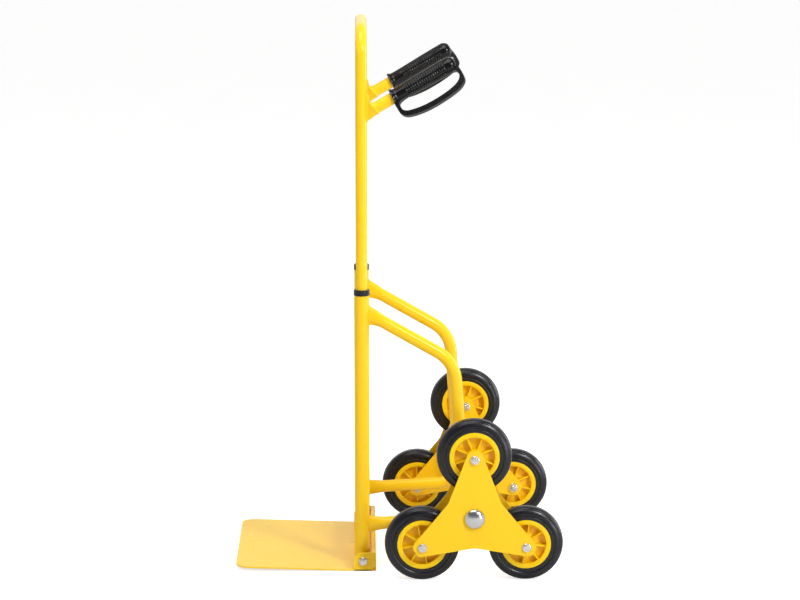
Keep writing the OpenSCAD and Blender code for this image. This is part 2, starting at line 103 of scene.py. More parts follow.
class Shape:
    """Vertices and faces in millimetres, gathered before they become one piece."""

    def __init__(self):
        self.verts, self.faces = [], []

    def add(self, verts, faces):
        """Adds faces that count from the first of these vertices."""
        k = len(self.verts)
        self.verts += [Vector(v) for v in verts]
        self.faces += [tuple(i + k for i in f) for f in faces]
        return self

    def loft(self, rings, closed=False):
        """Joins rings of equal length; closed joins the last to the first, else both ends are capped."""
        n, faces = len(rings[0]), []
        last = len(rings) if closed else len(rings) - 1
        for j in range(last):
            a, b = j * n, ((j + 1) % len(rings)) * n
            for k in range(n):
                m = (k + 1) % n
                faces.append((a + k, a + m, b + m, b + k))
        if not closed:
            faces.append(tuple(range(n))[::-1])
            faces.append(tuple((len(rings) - 1) * n + k for k in range(n)))
        return self.add([v for r in rings for v in r], faces)

    def revolve(self, profile, at, n, closed=True):
        """Turns (radius, x) points about the line along X through at = (y, z)."""
        return self.loft([ring_along_x(x, at, r, n) for r, x in profile], closed=closed)

    def revolve_z(self, profile, at, n):
        """Turns a closed outline of (radius, z) points about the upright line through at = (x, y)."""
        return self.loft([[Vector((x, y, z)) for x, y in circle(*at, r, n)] for r, z in profile],
                         closed=True)

    def extrude(self, outline, place, low, high, holes=()):
        """Plate between low and high; place(u, v, h) gives the point in space."""
        loops = [outline] + list(holes)
        flat = [p for loop in loops for p in loop]
        tris = tessellate_polygon([[Vector((u, v, 0)) for u, v in loop] for loop in loops])
        n, faces, k = len(flat), [], 0
        for t in tris:
            faces += [tuple(t), tuple(i + n for i in reversed(t))]
        for loop in loops:
            for i in range(len(loop)):
                a, b = k + i, k + (i + 1) % len(loop)
                faces.append((a, b, b + n, a + n))
            k += len(loop)
        return self.add([place(u, v, low) for u, v in flat] + [place(u, v, high) for u, v in flat],
                        faces)

    def piece(self, name, body, slot, side=1, stands_for=(), angle=35, bevel=0.0, segments=2):
        """Makes the Blender object, mirrored for side = -1, and puts it on its CAD body.

        Shading breaks at edges sharper than angle (degrees). A bevel is the width in millimetres
        over which edges sharper than BEVEL_FROM are rounded.
        """
        mesh = bpy.data.meshes.new(name)
        mesh.from_pydata([(v.x * side * MM, v.y * MM, v.z * MM) for v in self.verts], [], self.faces)
        work = bmesh.new()
        work.from_mesh(mesh)
        bmesh.ops.remove_doubles(work, verts=work.verts, dist=1e-6)
        bmesh.ops.dissolve_degenerate(work, dist=1e-6, edges=work.edges)
        bmesh.ops.recalc_face_normals(work, faces=work.faces)
        work.to_mesh(mesh)
        work.free()
        mesh.shade_smooth()
        mesh.set_sharp_from_angle(angle=math.radians(angle))
        obj = bpy.data.objects.new(name, mesh)
        bpy.context.scene.collection.objects.link(obj)
        mesh.materials.append(BY_SLOT[slot])
        if bevel:
            b = obj.modifiers.new("edges", "BEVEL")
            b.width, b.segments, b.limit_method = bevel * MM, segments, "ANGLE"
            b.angle_limit = math.radians(BEVEL_FROM)
            b.harden_normals = True
        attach(obj, body)
        if stands_for:
            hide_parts(*stands_for)


def arc2(a, p, b, r, n):
    """Points of the arc of radius r that rounds corner p of the path a, p, b, in 2D."""
    a, p, b = Vector(a), Vector(p), Vector(b)
    u, v = (a - p).normalized(), (b - p).normalized()
    half = u.angle(v) / 2
    mid = p + (u + v).normalized() * (r / math.sin(half))
    start, end = p + u * (r / math.tan(half)) - mid, p + v * (r / math.tan(half)) - mid
    a0 = math.atan2(start.y, start.x)
    turn = (math.atan2(end.y, end.x) - a0 + math.pi) % (2 * math.pi) - math.pi
    return [mid + Vector((math.cos(a0 + turn * i / n), math.sin(a0 + turn * i / n))) * r
            for i in range(n + 1)]


def rounded(corners, n):
    """Outline of (u, v, radius) corners, each of n steps."""
    out = []
    for i, (u, v, r) in enumerate(corners):
        if r <= 0:
            out.append((u, v))
            continue
        a, b = corners[i - 1], corners[(i + 1) % len(corners)]
        out += [tuple(q) for q in arc2(a[:2], (u, v), b[:2], r, n)]
    return out


def spline(points):
    """Closed smooth outline through the given points."""
    out, n, steps = [], len(points), 5
    for i in range(n):
        p = [Vector(points[(i + k - 1) % n]) for k in range(4)]
        for s in range(steps):
            t = s / steps
            out.append(tuple(0.5 * (2 * p[1] + (p[2] - p[0]) * t
                                    + (2 * p[0] - 5 * p[1] + 4 * p[2] - p[3]) * t * t
                                    + (3 * p[1] - p[0] - 3 * p[2] + p[3]) * t ** 3)))
    return out


def oval(at, along, side, high, wide, power=2.0):
    """Ring about a point: high is its half size square to along and side, wide that along side.

    A power of 2 gives an ellipse, and a larger one a rectangle with round corners.
    """
    along, side = Vector(along).normalized(), Vector(side)
    up = side.cross(along).normalized()
    ring, n = [], 48
    for k in range(n):
        c, s = math.cos(2 * math.pi * k / n), math.sin(2 * math.pi * k / n)
        c, s = (math.copysign(abs(q) ** (2 / power), q) for q in (c, s))
        ring.append(Vector(at) + up * high * c + side * wide * s)
    return ring


def bead(shape, path, seed, r=WELD_R, closed=True):
    """Weld bead: a low rippled line of filler along a path, tapered at the ends of an open one."""
    rnd = random.Random(seed)
    pitch, n = 2.6, 10
    path = [Vector(p) for p in path]
    total, dense = len(path), []
    for i in range(total if closed else total - 1):
        a, b = path[i], path[(i + 1) % total]
        steps = max(1, round((b - a).length / (pitch / 4)))
        dense += [a.lerp(b, s / steps) for s in range(steps)]
    if not closed:
        dense.append(path[-1])
    rings, run, ref = [], 0.0, None
    for i, p in enumerate(dense):
        before = dense[i - 1] if (closed or i) else dense[i]
        after = dense[(i + 1) % len(dense)] if (closed or i < len(dense) - 1) else dense[i]
        t = (after - before).normalized()
        if ref is None:
            ref = t.orthogonal().normalized()
        ref = (ref - t * ref.dot(t)).normalized()
        other = t.cross(ref)
        grow = 0.82 + 0.22 * abs(math.sin(math.pi * run / pitch)) + rnd.uniform(-0.03, 0.03)
        if not closed:
            grow *= 0.35 + 0.65 * smooth01(min(i, len(dense) - 1 - i) / 5)
        rings.append([p + (ref * math.cos(2 * math.pi * k / n) + other * math.sin(2 * math.pi * k / n))
                      * r * grow for k in range(n)])
        run += (after - before).length / 2
    shape.loft(rings, closed=closed)


# ---------------------------------------------------------------- materials


def fill_ramp(node, stops):
    """Sets a colour ramp's stops of (position, (r, g, b))."""
    elements = node.color_ramp.elements
    while len(elements) < len(stops):
        elements.new(0.5)
    for element, (position, colour) in zip(elements, stops):
        element.position, element.color = position, (*colour, 1.0)


class Nodes:
    """A Principled material and short ways to add to it."""

    def __init__(self, name, **sockets):
        self.mat = bpy.data.materials.new(name)
        self.mat.use_nodes = True
        self.tree = self.mat.node_tree
        self.shader = self.tree.nodes["Principled BSDF"]
        for k, v in sockets.items():
            self.shader.inputs[k.replace("_", " ")].default_value = v
        self.coords = self.tree.nodes.new("ShaderNodeTexCoord")

    def new(self, kind, **settings):
        """New node; a setting is an input of that name, or else a property."""
        n = self.tree.nodes.new(kind)
        for k, v in settings.items():
            if k in n.inputs:
                n.inputs[k].default_value = v
            else:
                setattr(n, k, v)
        return n

    def link(self, a, b):
        """Joins output a to input b."""
        self.tree.links.new(a, b)

    def noise(self, scale, detail, rough=0.5, stretch=None):
        """Noise on the object's own coordinates."""
        n = self.new("ShaderNodeTexNoise", Scale=scale, Detail=detail, Roughness=rough)
        source = self.coords.outputs["Object"]
        if stretch:
            m = self.new("ShaderNodeMapping")
            m.inputs["Scale"].default_value = stretch
            self.link(source, m.inputs["Vector"])
            source = m.outputs["Vector"]
        self.link(source, n.inputs["Vector"])
        return n.outputs["Fac"]

    def colour(self, fac, stops):
        """Base colour that follows fac through stops of (position, colour)."""
        ramp = self.new("ShaderNodeValToRGB")
        fill_ramp(ramp, stops)
        self.link(fac, ramp.inputs["Fac"])
        self.link(ramp.outputs["Color"], self.shader.inputs["Base Color"])

    def roughness(self, fac, low, high):
        """Roughness from low to high over the middle of the noise's range."""
        m = self.new("ShaderNodeMapRange")
        m.inputs["From Min"].default_value, m.inputs["From Max"].default_value = 0.3, 0.7
        m.inputs["To Min"].default_value, m.inputs["To Max"].default_value = low, high
        self.link(fac, m.inputs["Value"])
        self.link(m.outputs["Result"], self.shader.inputs["Roughness"])

    def bump(self, *layers):
        """Layers of (height, strength, distance in millimetres)."""
        last = None
        for height, strength, distance in layers:
            b = self.new("ShaderNodeBump", Strength=strength, Distance=distance * MM)
            self.link(height, b.inputs["Height"])
            if last:
                self.link(last, b.inputs["Normal"])
            last = b.outputs["Normal"]
        self.link(last, self.shader.inputs["Normal"])


def paint_material():
    """Yellow powder coat: smooth, glossy, hardly uneven in colour."""
    m = Nodes("paint", Coat_Weight=0.22, Coat_Roughness=0.06, Coat_IOR=1.5, Specular_IOR_Level=0.18)
    m.colour(m.noise(14, 4, 0.55), [(0.30, (0.954, 0.592, 0.010)), (0.52, (0.960, 0.600, 0.011)),
                                    (0.72, (0.966, 0.608, 0.012))])
    m.roughness(m.noise(24, 1), 0.27, 0.32)
    m.bump((m.noise(500, 1, 0.4), 0.02, 0.02))
    return m.mat


def rim_material():
    """Yellow moulded nylon, fine-grained and slightly translucent."""
    m = Nodes("rim_plastic", Coat_Weight=0.10, Coat_Roughness=0.2, Specular_IOR_Level=0.25,
              Subsurface_Weight=0.25, Subsurface_Scale=0.008)
    m.shader.inputs["Subsurface Radius"].default_value = (1.0, 0.5, 0.05)
    m.colour(m.noise(30, 4, 0.6), [(0.28, (0.965, 0.590, 0.001)), (0.5, (0.980, 0.620, 0.002)),
                                   (0.75, (0.990, 0.645, 0.003))])
    m.roughness(m.noise(140, 3), 0.28, 0.42)
    m.bump((m.noise(1400, 2, 0.5), 0.05, 0.03), (m.noise(45, 2, 0.5), 0.05, 0.2))
    return m.mat


def tyre_material():
    """Solid black rubber with a soft gloss."""
    m = Nodes("tyre_rubber", Specular_IOR_Level=0.50)
    m.colour(m.noise(55, 6, 0.65), [(0.30, (0.002, 0.002, 0.004)), (0.52, (0.003, 0.003, 0.007)),
                                    (0.74, (0.007, 0.007, 0.011))])
    m.roughness(m.noise(120, 2), 0.26, 0.34)
    m.bump((m.noise(2200, 3, 0.6), 0.05, 0.02), (m.noise(160, 2, 0.5), 0.01, 0.03))
    return m.mat


def grip_material():
    """Black moulded rubber, a little grainy."""
    m = Nodes("grip_rubber", Specular_IOR_Level=0.24, Coat_Weight=0.15, Coat_Roughness=0.10)
    m.colour(m.noise(80, 5, 0.6), [(0.3, (0.0015, 0.0015, 0.002)), (0.55, (0.003, 0.003, 0.004)),
                                   (0.75, (0.006, 0.006, 0.007))])
    m.roughness(m.noise(200, 3), 0.18, 0.30)
    m.bump((m.noise(1900, 3, 0.7), 0.08, 0.05), (m.noise(240, 2, 0.5), 0.04, 0.10))
    return m.mat


def collar_material():
    """Black moulded plastic, duller than the grips."""
    m = Nodes("black_plastic", Specular_IOR_Level=0.35)
    m.colour(m.noise(120, 5, 0.6), [(0.3, (0.006, 0.006, 0.008)), (0.55, (0.010, 0.010, 0.012)),
                                    (0.8, (0.018, 0.018, 0.021))])
    m.roughness(m.noise(260, 3), 0.22, 0.34)
    m.bump((m.noise(1600, 2, 0.5), 0.10, 0.05))
    return m.mat


def zinc_material():
    """Zinc plating with a blotchy, half-dull shine."""
    m = Nodes("zinc", Metallic=1.0)
    m.colour(m.noise(260, 5, 0.7), [(0.25, (0.46, 0.46, 0.48)), (0.5, (0.72, 0.72, 0.73)),
                                    (0.78, (0.88, 0.87, 0.84))])
    m.roughness(m.noise(420, 4, 0.6), 0.16, 0.40)
    m.bump((m.noise(900, 4, 0.6), 0.22, 0.07))
    return m.mat


def chrome_material():
    """Bright plating, clouded very slightly by fine marks."""
    m = Nodes("chrome", Metallic=1.0)
    m.colour(m.noise(90, 3), [(0.3, (0.58, 0.59, 0.61)), (0.7, (0.66, 0.67, 0.68))])
    m.roughness(m.noise(300, 4), 0.18, 0.22)
    m.bump((m.noise(1500, 3, 0.5, stretch=(1, 1, 0.2)), 0.012, 0.01))
    return m.mat


BY_SLOT = {"paint": paint_material(), "rim": rim_material(), "tyre": tyre_material(),
           "grip": grip_material(), "collar": collar_material(), "zinc": zinc_material(),
           "cap": chrome_material()}


def finish_cad_nodes():
    """Gives each CAD node that stays in view its slot's material and its sharp edges."""
    for entry in frame["record"]["subparts"]:
        mesh = nodes[entry["node"]].data
        mesh.materials.clear()
        mesh.materials.append(BY_SLOT[entry["material_slot"]])
        mesh.set_sharp_from_angle(angle=math.radians(30))


finish_cad_nodes()

# ---------------------------------------------------------------- side frames

# (y from the upright, z) of the places where a side frame's straight lines meet
TOP, UPPER_BEND, LOWER_BEND, LOW = (0.0, 532.0), (186.0, 426.0), (209.5, 101.0), (0.0, 88.5)
UPPER_R, LOWER_R = 75, 42                   # the two bends
TOP_END = (16.5, 7.0)                       # half height and half width of the pressed ends
LOW_END = (15.5, 8.5)
TOP_FLAT, LOW_FLAT, ROUND = 20, 18, 50      # distances from the upright's line: pressed up to, round from


def pressed(end, t):
    """Half height and half width of the tube, from its pressed end at t = 0 to round at t = 1."""
    return tuple(size + (TUBE_R - size) * t for size in end)


def side_frame_rings():
    """Rings of the bent tube, in the plane x = UX, and the directions of its two ends."""
    top, low, up, down = (Vector(p) for p in (TOP, LOW, UPPER_BEND, LOWER_BEND))
    path, shape = [], []
    strut, arm = (up - top).normalized(), (down - low).normalized()
    for s in [6, 12, TOP_FLAT] + list(range(TOP_FLAT + 3, ROUND + 1, 3)):
        t = smooth01((s - TOP_FLAT) / (ROUND - TOP_FLAT))
        sag = 3 if s <= 12 else 2 * (1 - t)
        path.append(top + strut * s - Vector((0, sag)))
        shape.append(pressed(TOP_END, t))
    for corner in (arc2(top, up, down, UPPER_R, 14), arc2(up, down, low, LOWER_R, 20)):
        path += [Vector(p) for p in corner]
        shape += [(TUBE_R, TUBE_R)] * len(corner)
    for s in list(range(ROUND, LOW_FLAT - 1, -3)) + [10, 5]:
        path.append(low + arm * s)
        shape.append(pressed(LOW_END, smooth01((s - LOW_FLAT) / (ROUND - LOW_FLAT))))
    rings = []
    for i, p in enumerate(path):
        way = path[min(i + 1, len(path) - 1)] - path[max(i - 1, 0)]
        along = Vector((0, way.x, way.y))
        rings.append(oval((UX, UY + p.x, p.y), along, X, *shape[i]))
    return rings, Vector((0, strut.x, strut.y)), Vector((0, arm.x, arm.y))


def rear_y(x, radius):
    """Y of the rear surface of an upright tube of that radius, on the left upright's centre line."""
    return UY + math.sqrt(max(radius ** 2 - (x - UX) ** 2, 0.0))


def onto_post(ring, way, radius):
    """Slides a ring along its tube until every point lies on the upright's surface."""
    return [p + way * ((rear_y(p.x, radius) - p.y) / way.y) for p in ring]


def saddle(ring, way, radius):
    """Rings that close a tube's end on a round surface inside the upright's wall, middle first."""
    mid = sum(ring, Vector()) / len(ring)
    return [onto_post([mid + (p - mid) * f for p in ring], way, radius) for f in (0.03, 0.35, 0.7, 1.0)]


def axle_weld_path():
    """Closed path where the axle's tube crosses a side frame's leg, round the leg's rear half."""
    leg = (Vector(LOWER_BEND) - Vector(UPPER_BEND)).normalized()
    half, steps, first, last, off = [], 24, 106, 254, 14.3
    begun_bend = 2.0                        # the lower bend has brought the leg forwards here
    for k in range(steps + 1):
        a = math.radians(first + (last - first) * k / steps)
        y, z = AXLE.y + off * math.cos(a), AXLE.z + off * math.sin(a)
        leg_y = UY + LOWER_BEND[0] + (z - LOWER_BEND[1]) / leg.y * leg.x - begun_bend
        half.append((y, z, math.sqrt(max(TUBE_R ** 2 - (y - leg_y) ** 2, 1.0))))
    return [(UX + d, y, z) for y, z, d in half] + [(UX - d, y, z) for y, z, d in reversed(half)]


def build_side_frames():
    """The bent tube on each side, with its welds to the upright and to the axle's tube."""
    rings, strut, arm = side_frame_rings()
    welds = [onto_post(r, w, POST_R + 0.6) for r, w in ((rings[2], strut), (rings[-2], arm))]
    rings[:3] = saddle(rings[2], strut, POST_R - 0.4)
    rings[-2:] = saddle(rings[-2], arm, POST_R - 0.4)[::-1]
    for name, side in SIDES:
        tube = Shape().loft(rings)
        tube.piece(f"{name}_side_frame_tube", "frame", "paint", side,
                   stands_for=[f"{name}_side_frame"], angle=50)
        weld = Shape()
        for k, w in enumerate(welds):
            bead(weld, w, seed=10 + k)
        bead(weld, axle_weld_path(), seed=13)
        weld.piece(f"{name}_side_frame_welds", "frame", "paint", side, angle=60)


build_side_frames()

# ---------------------------------------------------------------- cross tubes, collars


def cross_weld(shape, z, side, seed):
    """Bead round a cross tube where it meets the upright."""
    path = [(side * (UX - math.sqrt(POST_R ** 2 - dy ** 2) - 0.5), UY + dy, z + dz)
            for dy, dz in circle(0, 0, TUBE_R + 0.3, 40)]
    bead(shape, path, seed)


def build_cross_welds():
    """Welds at both ends of the three cross tubes; the tubes themselves are CAD nodes."""
    for name in ("lower", "middle", "upper"):
        z = centre(f"{name}_crossbar").z
        weld = Shape()
        for s in (1, -1):
            cross_weld(weld, z, s, 20 + round(z) + s)
        weld.piece(f"{name}_crossbar_welds", "frame", "paint", angle=60)


build_cross_welds()


def collar_profile():
    """Closed (radius, z) outline: a sleeve inside the upright, and a grooved ring on top of it."""
    bore, sleeve, ring, groove, sleeve_length = SLIDER_R + 0.1, 13.4, 16.0, 15.65, 36
    above_upright = [(bore, -sleeve_length), (sleeve, -sleeve_length), (sleeve, 0.02), (15.2, 0.02),
                     (15.75, 0.4), (ring, 1.2), (ring, 4.2), (groove, 4.9), (groove, 5.5), (ring, 6.2),
                     (ring, 10.4), (15.7, 11.3), (15.1, 11.8), (14.2, 12), (12.6, 12), (11.95, 11.7),
                     (bore, 11.0)]
    return [(r, UPRIGHT_TOP + z) for r, z in above_upright]


def build_collars():
    """Plastic collar on top of each upright, which guides the handle's tube."""
    for name, side in SIDES:
        Shape().revolve_z(collar_profile(), (UX, UY), n=72).piece(
            f"{name}_collar_ring", "frame", "collar", side, stands_for=[f"{name}_collar"], angle=40)


build_collars()

# ---------------------------------------------------------------- handle


def build_handle():
    """One tube, up from its left end, over the top and down to its right end."""
    low, high, bend_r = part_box("handle_loop")[0].z / MM, HANDLE_TOP - SLIDER_R, 50.0
    path = [Vector((UX, low)), Vector((UX, low + 3))]
    path += arc2((UX, low), (UX, high), (-UX, high), bend_r, 24)
    path += arc2((UX, high), (-UX, high), (-UX, low), bend_r, 24)
    path += [Vector((-UX, low + 3)), Vector((-UX, low))]
    rings = []
    for i, p in enumerate(path):
        way = path[min(i + 1, len(path) - 1)] - path[max(i - 1, 0)]
        rings.append(oval((p.x, UY, p.y), (way.x, 0, way.y), Vector((0, 1, 0)), SLIDER_R, SLIDER_R))
    Shape().loft(rings).piece("handle_tube", "handle", "paint", stands_for=["handle_loop"], angle=50)


build_handle()

GRIP_ROOT = Vector((0, UY + 63.3, 957.5))   # on the grip's centre line, where its sleeve starts
GRIP_ANGLE = math.radians(30)
ALONG = Vector((0, math.cos(GRIP_ANGLE), math.sin(GRIP_ANGLE)))
DOWN = Vector((0, math.sin(GRIP_ANGLE), -math.cos(GRIP_ANGLE)))
STUB_R = 12.0                               # the round stub inside the sleeve


def level_onto_slider(ring, radius):
    """Slides a ring level along Y until every point lies on the handle tube's surface."""
    return [Vector((p.x, rear_y(p.x, radius), p.z)) for p in ring]


def build_stub(name, side):
    """Pressed bracket on the handle's tube that closes to a round stub for the grip."""
    rings, steps = [], 14
    start, end = Vector((0, UY + 10, 937)), GRIP_ROOT + ALONG * -42
    foot_high, foot_wide, neck = 26.5, 7, 13.5
    for k in range(steps + 1):
        t = k / steps
        e = smooth01(t)
        tilt = GRIP_ANGLE * smooth01((t - 0.25) / 0.75)
        at = start.lerp(end, t) + X * UX
        rings.append(oval(at, (0, math.cos(tilt), math.sin(tilt)), X, foot_high + (neck - foot_high) * e,
                          foot_wide + (neck - foot_wide) * e, power=3.6 - 1.6 * e))
    rings[0] = level_onto_slider(rings[0], SLIDER_R - 0.4)
    weld_ring = level_onto_slider(rings[0], SLIDER_R + 0.3)
    for u, r in ((-41.0, neck), (-39.6, 13.3), (-38.8, 12.7), (-38.2, 12.1), (-37.5, STUB_R),
                 (0, STUB_R), (40, STUB_R), (118, STUB_R)):
        rings.append(oval(GRIP_ROOT + ALONG * u + X * UX, ALONG, X, r, r))
    Shape().loft(rings).piece(f"{name}_grip_bracket", "handle", "paint", side,
                              stands_for=[f"{name}_grip_stub"], angle=50)
    weld = Shape()
    bead(weld, weld_ring, seed=31)
    weld.piece(f"{name}_grip_bracket_weld", "handle", "paint", side, angle=60)


def grip_point(u, v, x):
    """u along the grip from its root, v square to it and down, x across the truck."""
    return GRIP_ROOT + ALONG * u + DOWN * v + X * (UX + x)


GUARD_LEAN = math.radians(30)
GUARD_WIDTH = 12                            # square to the loop that it makes


def guard_point(u, v, h):
    """Like grip_point, for a guard that leans outwards about the grip; h is square to the guard."""
    c, s = math.cos(GUARD_LEAN), math.sin(GUARD_LEAN)
    return grip_point(u, v * c - h * s, v * s + h * c)


GRIP_END = 140.0                            # places along the grip, from its root
RIBS_FROM, RIBS_TO = 26, 122
GRIP_RING = 72                              # points round the sleeve
RIB_PITCH, RIB_DEPTH, RIDGE_HEIGHT = 5.0, 1.3, 0.9


def grip_radius(u):
    """Sleeve radius along the grip, before the ribs: a flared mouth, a slow taper, a round end."""
    mouth, slim, thick, mouth_end, end_from = 19.0, 14.4, 16.4, 10, 127
    if u < mouth_end:
        return slim + (mouth - slim) * (1 - smooth01((u + 1) / (mouth_end + 1)))
    if u > end_from:
        t = min(1.0, (u - end_from) / (GRIP_END - end_from))
        return thick * (1 - 0.62 * (1 - math.sqrt(1 - 0.98 * t * t)))
    return slim + (thick - slim) * smooth01((u - mouth_end) / 105)


def grip_ring(u, r):
    """Plain ring of the sleeve."""
    return [grip_point(u, v, x) for v, x in circle(0, 0, r, GRIP_RING)]


def ribbed_ring(u):
    """Ring with ribs across both sides and one ridge along the top."""
    base = grip_radius(u)
    fade = smooth01((u - RIBS_FROM) / 6) * smooth01((RIBS_TO - u) / 6)
    valley = 1 - (0.5 + 0.5 * math.cos(2 * math.pi * u / RIB_PITCH)) ** 0.6
    ridge = RIDGE_HEIGHT * smooth01((u - 4) / 6) * smooth01((GRIP_END - 6 - u) / 5)
    ring = []
    for k in range(GRIP_RING):
        a = 2 * math.pi * k / GRIP_RING        # 0 points down, pi up
        on_side = smooth01((abs(math.sin(a)) - 0.42) / 0.22)
        on_top = smooth01((math.pi - abs(a - math.pi) - 2.86) / 0.10)
        r = base - RIB_DEPTH * fade * on_side * valley + ridge * on_top
        ring.append(grip_point(u, r * math.cos(a), r * math.sin(a)))
    return ring


def grip_stations():
    """Places of the sleeve's rings, closer together along the ribs."""
    stations, u = [], -1.0
    while u < GRIP_END:
        stations.append(u)
        u += 0.7 if RIBS_FROM - 2 < u < RIBS_TO + 2 else 1.4
    return stations + [GRIP_END]


def build_grip(name, side):
    """Rubber sleeve on the stub, and the flat loop of the guard that is moulded onto it."""
    rings = [grip_ring(u, r) for u, r in ((10.0, 12.15), (3.0, 13.0), (0.4, 16.6), (-0.8, 17.9),
                                          (-1.0, 18.5))]
    rings += [ribbed_ring(u) for u in grip_stations()]
    rings += [grip_ring(u, r) for u, r in ((139.9, 7.5), (139.2, 7.0), (139.2, 2.0))]
    sleeve = Shape().loft(rings)
    outer = [(-2.9, 13), (-3, 27), (-2, 38.5), (4, 48), (16, 53.8), (32, 57.6), (52, 60.2), (76, 60.4),
             (99, 58.9), (121, 55.4), (133, 50.2), (140.5, 42.7), (142.5, 31), (142, 16), (139, 2),
             (135, -8), (120, -8), (100, -6), (60, -4), (20, -4), (4, 0)]
    opening = [(7, 17), (4.5, 27), (6.5, 35.5), (14, 41.5), (29, 45.8), (46, 48.6), (64, 49.6), (84, 49.2),
               (106, 46.8), (122, 42.7), (132, 36), (135.5, 27), (131, 17), (107, 14), (66, 13.5),
               (27, 13.5)]
    guard = Shape().extrude(spline(outer), guard_point, -GUARD_WIDTH / 2, GUARD_WIDTH / 2,
                            holes=[spline(opening)])
    sleeve.piece(f"{name}_grip_sleeve", "handle", "grip", side, stands_for=[f"{name}_grip"], angle=60)
    guard.piece(f"{name}_grip_guard", "handle", "grip", side, bevel=1.6, segments=3, angle=40)


for side_name, side_sign in SIDES:
    build_stub(side_name, side_sign)
    build_grip(side_name, side_sign)

# ---------------------------------------------------------------- toe plate

toe_low, toe_high = (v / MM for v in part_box("toe_plate"))
TOE_HALF = toe_high.x
FRONT, BACK = toe_low.y, toe_high.y
FLAT_FROM = UY - 20.0                       # y where the level part ends
RISE = math.tan(math.radians(1.9))          # slope of the front part
SHEET = 3.0                                 # thickness of the plate, its ears and its lip
TOE_CORNER = 28
EAR_R = 18.5                                # round the hinge bolt


def toe_z(y):
    """Height of the plate's underside: level at the back, rising to the front, with a soft bend."""
    d = FLAT_FROM - y
    soft = 4.0
    if d < -soft:
        return 0.0
    if d < soft:
        return RISE * (d + soft) ** 2 / (4 * soft)
    return RISE * d


def toe_half_width(y):
    """Half the plate's width at y; it narrows round the front corners."""
    d = FRONT + TOE_CORNER - y
    if d <= 0:
        return TOE_HALF
    return TOE_HALF - TOE_CORNER + math.sqrt(max(TOE_CORNER ** 2 - d ** 2, 0.0))


def build_toe_sheet():
    """Plate of even thickness, from rows of m points between its sides, the back row first."""
    rows = [BACK, UY + 5, UY - 14] + [FLAT_FROM + d for d in (3, 1, -1, -3, -5)]
    rows += [FLAT_FROM - 30, UY - 90, UY - 140, UY - 190, FRONT + TOE_CORNER]
    rows += [FRONT + TOE_CORNER * (1 - math.sin(math.radians(a))) for a in range(9, 91, 9)]
    verts, faces, m = [], [], 13
    for y in rows:
        for k in range(m):
            verts.append(Vector((toe_half_width(y) * (2 * k / (m - 1) - 1), y, toe_z(y))))
    n = len(verts)
    verts += [v + Vector((0, 0, SHEET)) for v in verts]
    for j in range(len(rows) - 1):
        for k in range(m - 1):
            a = j * m + k
            faces += [(a, a + 1, a + m + 1, a + m), (a + n, a + m + n, a + m + 1 + n, a + 1 + n)]
    edge = (list(range(m)) + [j * m + m - 1 for j in range(1, len(rows))]
            + [(len(rows) - 1) * m + k for k in range(m - 2, -1, -1)]
            + [j * m for j in range(len(rows) - 2, 0, -1)])
    for i, a in enumerate(edge):
        b = edge[(i + 1) % len(edge)]
        faces.append((a, b, b + n, a + n))
    Shape().add(verts, faces).piece("toe_plate_sheet", "toe", "paint", stands_for=["toe_plate"],
                                    bevel=0.8, segments=3)


def build_toe_ears():
    """Upright ears on both sides: round in front of the hinge bolt, square at the back's top."""
    heel, floor = 8, 0.4
    outline = [(HINGE.y + EAR_R * math.cos(math.radians(a)), HINGE.z + EAR_R * math.sin(math.radians(a)))
               for a in range(90, 181, 6)]
    outline += [(HINGE.y - EAR_R, floor), (BACK - heel, floor)]
    outline += [(BACK - heel * math.cos(math.radians(a)), floor + heel * math.sin(math.radians(a)))
                for a in range(15, 91, 15)]
    outline.append((BACK, HINGE.z + EAR_R))
    ears = Shape()
    for s in (1, -1):
        ears.extrude(outline, along_x, s * (TOE_HALF - SHEET), s * TOE_HALF,
                     holes=[circle(HINGE.y, HINGE.z, 4.2, 24)])
    ears.piece("toe_plate_ears", "toe", "paint", bevel=0.7)


def build_toe_welds():
    """Open beads in the corners between the sheet and its ears, and along its rear lip."""
    welds, z = Shape(), SHEET + 0.2
    for s in (1, -1):
        path = [(s * (TOE_HALF - SHEET - 0.4), y, z) for y in (HINGE.y - EAR_R, HINGE.y, BACK - 4)]
        bead(welds, path, seed=40 + s, r=1.6, closed=False)
    path = [(x, BACK - SHEET - 0.3, z) for x in (-TOE_HALF + 8, 0, TOE_HALF - 8)]
    bead(welds, path, seed=43, r=1.5, closed=False)
    welds.piece("toe_plate_welds", "toe", "paint", angle=60)


def build_toe_stop():
    """Rear lip between the ears, folded forwards at its top."""
    top, back = HINGE.z + EAR_R, BACK
    outer = rounded([(back, SHEET, 0), (back, top, 4.5), (back - 9.5, top, 0.6),
                     (back - 9.5, top - SHEET, 0.6), (back - SHEET, top - SHEET, 1.6),
                     (back - SHEET, SHEET, 0)], 6)
    stop = Shape().extrude(outer, along_x, -TOE_HALF + SHEET, TOE_HALF - SHEET)
    stop.piece("toe_stop_strip", "toe", "paint", stands_for=["toe_stop"], bevel=0.3, segments=1)


build_toe_sheet()
build_toe_ears()
build_toe_welds()
build_toe_stop()

# ---------------------------------------------------------------- bolts, nuts and washers


HEX_RING = 72                               # points round a head or nut


def hexagon(r_flat, limit, x, at, turn):
    """Ring of a hexagon across flats 2 r_flat, cut back to a circle of radius limit."""
    ring = []
    for k in range(HEX_RING):
        a = 2 * math.pi * k / HEX_RING
        b = (a + turn) % (math.pi / 3) - math.pi / 6
        r = min(r_flat / math.cos(b), limit)
        ring.append(Vector((x, at[0] + r * math.cos(a), at[1] + r * math.sin(a))))
    return ring


